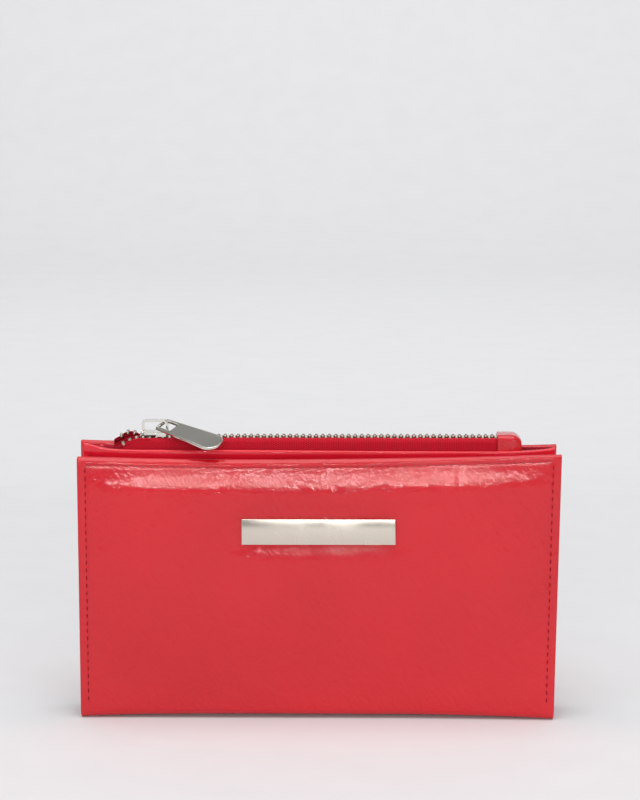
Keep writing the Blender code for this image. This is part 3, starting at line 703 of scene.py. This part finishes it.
def floor_strip(node_name, material, body, lift):
    """A lying strip in place of a fixed one, its middle lifted with the spine."""
    low, high = span(node_name)
    middle = (low[2] + high[2]) / 2
    path = line((low[1], middle), (high[1], middle), 14)

    def raise_middle(x, y, z):
        return x * 0.99, y, z + lift * (1 - (x / half_cover) ** 4)

    left = low[0] + 1 * MM
    stations = along((low[0], left, 5), (left, high[0], 40))
    obj = sheet_solid(node_name + "_skin", path, high[2] - low[2], stations, raise_middle)
    return dress(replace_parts(obj, node_name), material, body)


floor_strip("spine_lining", satin, "spine", 1.2 * MM)
floor_strip("pocket_lining_base", twill_lining, "back_half", 0.0)


def gusset(node_name, side):
    """A pleated side of the coin pocket: a V with a soft fold, carried upwards. Its path is in
    (x, y): the depth follows 1 - sqrt(y² + a little). It gapes towards the top, and ripples."""
    cloth = 0.4 * MM
    low, high = span(node_name)
    edge, tip = (high[0], low[0]) if side > 0 else (low[0], high[0])
    middle = (low[1] + high[1]) / 2
    reach = (high[1] - low[1]) / 2 - 0.25 * MM
    y = np.linspace(-1, 1, 41)
    depth = 1 - np.sqrt(y**2 + 0.012)
    path = np.stack([edge + (tip - edge) * (depth - depth[0]) * 0.97, middle + reach * y], 1)

    def stand_up(z, x, y):
        gape = smooth_step((z - 60 * MM) / (45 * MM)) * 0.25
        ripple = 0.1 * MM * np.sin(z / (7 * MM)) * np.sin(y / (2 * MM))
        return x + (edge - x) * gape + side * ripple, y, z

    heights = np.linspace(low[2], high[2], 60)
    obj = sheet_solid(node_name + "_skin", path, cloth, heights, stand_up)
    return dress(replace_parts(obj, node_name), twill_lining, "back_half")


gusset("left_gusset", -1)
gusset("right_gusset", 1)


# Zip ---------------------------------------------------------------------------------------------

tape_wall = zip_y - span("zip_tape_front")[0][1] - tape_thickness / 2
tape_foot, tape_left, tape_right = 104.6 * MM, -82.5 * MM, 79.5 * MM
first_tooth, last_tooth, tooth_pitch = 75.5 * MM, -81.9 * MM, 2.6 * MM
# Going left, the rows part inside the slider, leave it, and bend over the pocket's end.
part_start, part_end, bend_start, bend_length = -64 * MM, -68.3 * MM, -71.5 * MM, 8.5 * MM


def parting(x):
    """How far the rows stand apart at x: nothing right of the slider, then more and more."""
    inside = np.clip((part_start - x) / (part_start - part_end), 0, 1)
    return 1.15 * MM * inside + 0.8 * MM * bend_share(x)


def bend_share(x):
    """0 up to where the chain leaves the slider, 1 after a bend's length, and a little more at the
    end of the rows."""
    return np.clip((bend_start - x) / bend_length, 0, 1.35)


def chain_line(x, side):
    """Height of a row at x. The front row curls down in front; the back row rises a little
    first."""
    s = bend_share(x)
    if side < 0:
        return zip_z - 3.3 * MM * s**1.7
    return zip_z + 1.6 * MM * np.sin(np.pi * np.clip(s, 0, 1) * 0.9) - 1.2 * MM * s**3


def make_tape(side, node_name):
    """One tape: up behind the leather, over in a slope and in under the teeth. Its path is half a
    tent, a straight rise and a cubic Bezier curve through a, b, c, d. Left of the slider it follows
    its row down, and its upper part puckers along its length."""
    t = np.linspace(0, 1, 22)[:, None]
    a = np.array((tape_wall, body_height - 0.6 * MM))
    b = np.array((tape_wall, zip_z - 0.9 * MM))
    c = np.array((3.9 * MM, zip_z - 0.1 * MM))
    d = np.array((2.1 * MM, zip_z))
    slope = (1 - t) ** 3 * a + 3 * (1 - t) ** 2 * t * b + 3 * (1 - t) * t**2 * c + t**3 * d
    path = profile(line((tape_wall, tape_foot), slope[0], 12), slope)
    path[:, 0] = zip_y + side * path[:, 0]

    def follow(x, y, z):
        off = side * (y - zip_y)
        top = smooth_step((z - 106 * MM) / (7 * MM))
        off = np.minimum(off + parting(x) * smooth_step((tape_wall - off) / (1.2 * MM)), tape_wall)
        pucker = 0.048 * MM * np.sin(x / (2.9 * MM))
        return x, zip_y + side * off, z + (chain_line(x, side) - zip_z + pucker) * top

    stations = along((tape_left, -60 * MM, 70), (-60 * MM, tape_right, 120))
    obj = sheet_solid(node_name + "_skin", path, tape_thickness, stations, follow)
    return dress(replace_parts(obj, node_name), tape_weave, "back_half")


def make_teeth(side, node_name, offset):
    """One row of pressed teeth. A tooth is an eight-sided section carried from its head, past the
    middle of the chain, to its foot on the tape, with a half width and a half height at each
    station; each is placed and tilted along the row."""
    along_tooth = np.array([-0.66, -0.5, 0.15, 0.55, 0.95, 1.2, 2.6, 2.95]) * MM
    half_width = np.array([0.26, 0.5, 0.55, 0.46, 0.42, 0.62, 0.64, 0.46]) * MM
    half_height = np.array([0.4, 0.6, 0.7, 0.74, 0.78, 0.9, 0.9, 0.66]) * MM
    corners = np.array([(1, 0.5), (0.6, 1), (-0.6, 1), (-1, 0.5)])
    corners = np.concatenate([corners, -corners])
    tooth = np.stack(
        [
            half_width[:, None] * corners[None, :, 0],
            np.repeat(side * along_tooth[:, None], 8, axis=1),
            half_height[:, None] * corners[None, :, 1],
        ],
        -1,
    ).reshape(-1, 3)
    faces = grid_faces(len(along_tooth), 8, closed=True)
    quads = np.array([[0, 1, 2, 3], [0, 3, 4, 7], [7, 4, 5, 6]])
    last = (len(along_tooth) - 1) * 8
    faces = np.concatenate([faces, quads[:, ::-1], quads + last])
    x = first_tooth - offset - tooth_pitch * np.arange(60)
    x = x[x > last_tooth]
    z = chain_line(x, side)
    step = 0.1 * MM
    angle = np.arctan((chain_line(x + step, side) - chain_line(x - step, side)) / (2 * step))
    c, s = np.cos(angle)[:, None], np.sin(angle)[:, None]
    points = np.stack(
        [
            x[:, None] + tooth[None, :, 0] * c - tooth[None, :, 2] * s,
            zip_y + side * parting(x)[:, None] + tooth[None, :, 1],
            z[:, None] + tooth[None, :, 0] * s + tooth[None, :, 2] * c,
        ],
        -1,
    )
    shift = (np.arange(len(x)) * len(tooth))[:, None, None]
    faces = (faces[None] + shift).reshape(-1, 4)
    obj = outward(make_object(node_name + "_row", points.reshape(-1, 3), faces, smooth=False))
    return dress(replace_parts(obj, node_name), shaded_tooth_nickel, "back_half")


make_tape(-1, "zip_tape_front")
make_tape(1, "zip_tape_back")
make_teeth(-1, "zip_teeth_front", 0.0)
make_teeth(1, "zip_teeth_back", tooth_pitch / 2)


def make_end_tab():
    """The leather tab over the closed end: an arch of leather carried along the chain, its free end
    narrowed and rounded down, and its top slightly crowned."""
    thickness = 0.8 * MM
    half = (tab_high[1] - tab_low[1] - thickness) / 2
    top = tab_high[2] - 0.9 * MM
    radius = 1.7 * MM
    foot = body_height - 3.6 * MM
    droop_length = 4.2 * MM
    path = profile(
        line((zip_y - half, foot), (zip_y - half, top - radius), 14),
        turn((zip_y - half + radius, top - radius), radius, 180, 90, 10),
        line((zip_y - half + radius, top), (zip_y + half - radius, top), 14),
        turn((zip_y + half - radius, top - radius), radius, 90, 0, 10),
        line((zip_y + half, top - radius), (zip_y + half, foot), 14),
    )

    def droop(x, y, z):
        share = np.clip((x - tab_high[0]) / droop_length + 1, 0, 1)
        height = smooth_step((z - foot) / (5 * MM))
        narrow = 1 - 0.14 * share**2
        crown = 0.25 * MM * np.cos((y - zip_y) / half * 1.4) * height
        return x, zip_y + (y - zip_y) * narrow, z - 2.4 * MM * share**2.4 * height + crown

    left = tab_low[0] + 0.8 * MM
    stations = along((left, left + 1 * MM, 8), (left + 1 * MM, tab_high[0], 36))
    obj = sheet_solid("zip_end_tab_skin", path, thickness, stations, droop)
    return dress(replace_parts(obj, "zip_end_tab"), patent, "back_half")


make_end_tab()
dress(refined("slider_body", "slider_shell", 0.28 * MM, 4), nickel, "slider")
dress(refined("slider_crown", "slider_arch", 0.2 * MM, 3), nickel, "slider")
dress(refined("pull_tab", "pull_blade", 0.22 * MM, 3), nickel, "pull")


# Name plate --------------------------------------------------------------------------------------


def make_plate():
    """The blank plate with rounded edges. Its face stands forward with the leather just above
    it, and its prongs reach back to where they were."""
    obj = refined("name_plate", "blank_plate", 0.35 * MM, 4)
    points = np.zeros(len(obj.data.vertices) * 3)
    obj.data.vertices.foreach_get("co", points)
    points = points.reshape(-1, 3)
    forward = cover_relief(np.array(0.0), np.array(plate_z + 6.5 * MM)) - 0.15 * MM
    points[points[:, 1] < front_face - 0.1 * MM, 1] -= forward
    obj.data.vertices.foreach_set("co", points.ravel())
    return dress(obj, plate_finish, "front_cover")


make_plate()


# Stitching ---------------------------------------------------------------------------------------


stitch_pitch = 3.1 * MM
stitch_length = 1.9 * MM
thread_radius = 0.22 * MM


def stitch_row(name, centres, direction, outward_axis):
    """Separate stitches on a seam. A stitch is a six-sided thread carried along 'direction' in a
    low arch whose ends dive into the leather: its height falls with the fourth power of the way
    out, and it tapers at its ends."""
    t = np.linspace(-1, 1, 7)
    thick = thread_radius * np.sqrt(np.maximum(1 - t**6, 0.12))
    around = np.radians(np.arange(6) * 60)
    direction, outward_axis = np.array(direction, float), np.array(outward_axis, float)
    sideways = np.cross(direction, outward_axis)
    height = thread_radius * (0.35 - 0.9 * t**4)
    core = t[:, None] * direction * stitch_length / 2 + height[:, None] * outward_axis
    ring = np.cos(around)[:, None] * outward_axis + np.sin(around)[:, None] * sideways
    stitch = (core[:, None] + thick[:, None, None] * ring[None]).reshape(-1, 3)
    faces = grid_faces(len(t), 6, closed=True)
    cap = np.array([[0, 1, 2, 3], [0, 3, 4, 5]])
    last = (len(t) - 1) * 6
    faces = np.concatenate([faces, cap[:, ::-1], cap + last])
    points = centres[:, None] + stitch[None]
    shift = (np.arange(len(centres)) * len(stitch))[:, None, None]
    obj = make_object(name, points.reshape(-1, 3), (faces[None] + shift).reshape(-1, 4))
    return outward(obj)


def on_surface(shape, x, y, z):
    """Points of a seam after the leather has taken its soft shape."""
    return np.stack(shape(x, np.full_like(x, y), z), -1)


def panel_seams(prefix, shape, face, top_line, outward_axis, body, node_name):
    """The two side seams and the top seam of an outer panel."""
    z = np.arange(8 * MM, top_line - 1.5 * MM, stitch_pitch)
    x = np.arange(-seam_x + 1.5 * MM, seam_x - 1 * MM, stitch_pitch)
    left = on_surface(shape, np.full_like(z, -seam_x), face, z)
    right = on_surface(shape, np.full_like(z, seam_x), face, z)
    top = on_surface(shape, x, face, np.full_like(x, top_line))
    side_points = np.concatenate([left, right])
    sides = stitch_row(prefix + "_side_stitches", side_points, (0, 0, 1), outward_axis)
    across = stitch_row(prefix + "_top_stitches", top, (1, 0, 0), outward_axis)
    dress(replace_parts(sides, node_name), thread, body)
    dress(across, thread, body)


panel_seams(
    "cover", shape_cover, front_face, top_seam, (0, -1, 0), "front_cover", "front_cover_thread"
)
panel_seams(
    "back", shape_back, back_face, body_height - seam_inset, (0, 1, 0), "back_half", "back_thread"
)
pocket_x = np.arange(-half_pocket + 3 * MM, half_pocket - 2 * MM, stitch_pitch)
pocket_z = np.full_like(pocket_x, pocket_seam)
pocket_points = on_surface(shape_pocket, pocket_x, pocket_low[1], pocket_z)
pocket_stitches = stitch_row("pocket_stitches", pocket_points, (1, 0, 0), (0, -1, 0))
dress(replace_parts(pocket_stitches, "pocket_thread"), thread, "back_half")


# Fixed nodes that keep their shape ---------------------------------------------------------------

fixed_finish = {
    millboard: ("front_cover_board", "back_board"),
    nickel: (
        "plate_washer_left",
        "plate_washer_right",
        "zip_bottom_stop",
        "snap_cap",
        "snap_socket",
        "snap_spring",
        "snap_stud",
        "snap_rivet",
    ),
}
for material, node_name in [(m, name) for m, names in fixed_finish.items() for name in names]:
    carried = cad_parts[node_name].data
    carried.materials.clear()
    carried.materials.append(material)


# Stage -------------------------------------------------------------------------------------------


def make_stage():
    """A pale sweep: floor, curve and wall in one sheet, as a profile carried along X."""
    reach, radius, wall = 2.2, 0.7, 2.4
    path = profile(
        line((-3.0, 0), (reach - radius, 0), 12),
        turn((reach - radius, radius), radius, -90, 0, 16),
        line((reach, radius), (reach, wall), 6),
    )
    stations = np.linspace(-4, 4, 9)
    x = np.repeat(stations[:, None], len(path), axis=1)
    y, z = (np.broadcast_to(values, x.shape) for values in path.T)
    points = np.stack([x, y, z], -1).reshape(-1, 3)
    sweep = make_object("sweep", points, grid_faces(len(stations), len(path)))
    material, tree = new_material("pale_paper")
    place = node(tree, "TexCoord")
    grain = node(tree, "TexNoise", {"Scale": 40.0, "Detail": 2.0}, {"Vector": (place, "Object")})
    shades = [(0.3, "E4E4E5"), (0.7, "E6E6E7")]
    colour = node(tree, "ValToRGB", {}, {"Fac": (grain, "Fac")}, shades)
    finish_material(tree, {"Roughness": 0.9}, {"Base Color": (colour, "Color")})
    sweep.data.materials.append(material)


def make_light(name, place, aim, size, watts):
    """A rectangular soft white light at a place, turned to a point."""
    light = bpy.data.lights.new(name, "AREA")
    light.shape = "RECTANGLE"
    light.size, light.size_y = size
    light.energy = watts
    obj = bpy.data.objects.new(name, light)
    bpy.context.scene.collection.objects.link(obj)
    obj.location = place
    obj.rotation_euler = (Vector(aim) - Vector(place)).to_track_quat("-Z", "Y").to_euler()


def make_world(strength, colour):
    """An even, nearly white surround."""
    world = bpy.data.worlds.new("studio")
    bpy.context.scene.world = world
    world.use_nodes = True
    background = world.node_tree.nodes["Background"]
    background.inputs["Color"].default_value = linear(colour)
    background.inputs["Strength"].default_value = strength


def make_camera():
    """The camera stands about 1.1 m in front and looks a little down, as for a catalogue
    picture."""
    look_down, lean, aside = 9.57, 0.13, 1.176  # degrees
    camera = bpy.data.cameras.new("camera")
    camera.sensor_width = 36
    camera.lens = 125.2
    camera.clip_start = 0.01
    obj = bpy.data.objects.new("camera", camera)
    bpy.context.scene.collection.objects.link(obj)
    obj.location = (0.0232, -1.0895, 0.3115)
    obj.rotation_euler = [math.radians(angle) for angle in (90 - look_down, lean, aside)]
    bpy.context.scene.camera = obj


make_stage()
make_world(strength=0.355, colour="F4F5F7")
# Name, place, the point it faces, width and height in metres, and watts. The strip draws the long
# highlight along the cover's roll, and the backdrop light whitens the wall behind.
make_light("strip", (0.15, -1.6, 0.5), (0, 0, 0.08), (1.4, 0.02), 11)
make_light("top", (0.0, -0.2, 1.3), (0, -0.05, 0), (1.4, 1.2), 11.8)
make_light("front_top", (0.0, -0.9, 1.2), (0, 0, 0.1), (1.6, 0.7), 2.2)
make_light("backdrop", (0.0, 0.7, 1.5), (0, 2.2, 0.9), (2.4, 0.8), 19)
make_camera()
bpy.context.scene.view_settings.view_transform = "Standard"
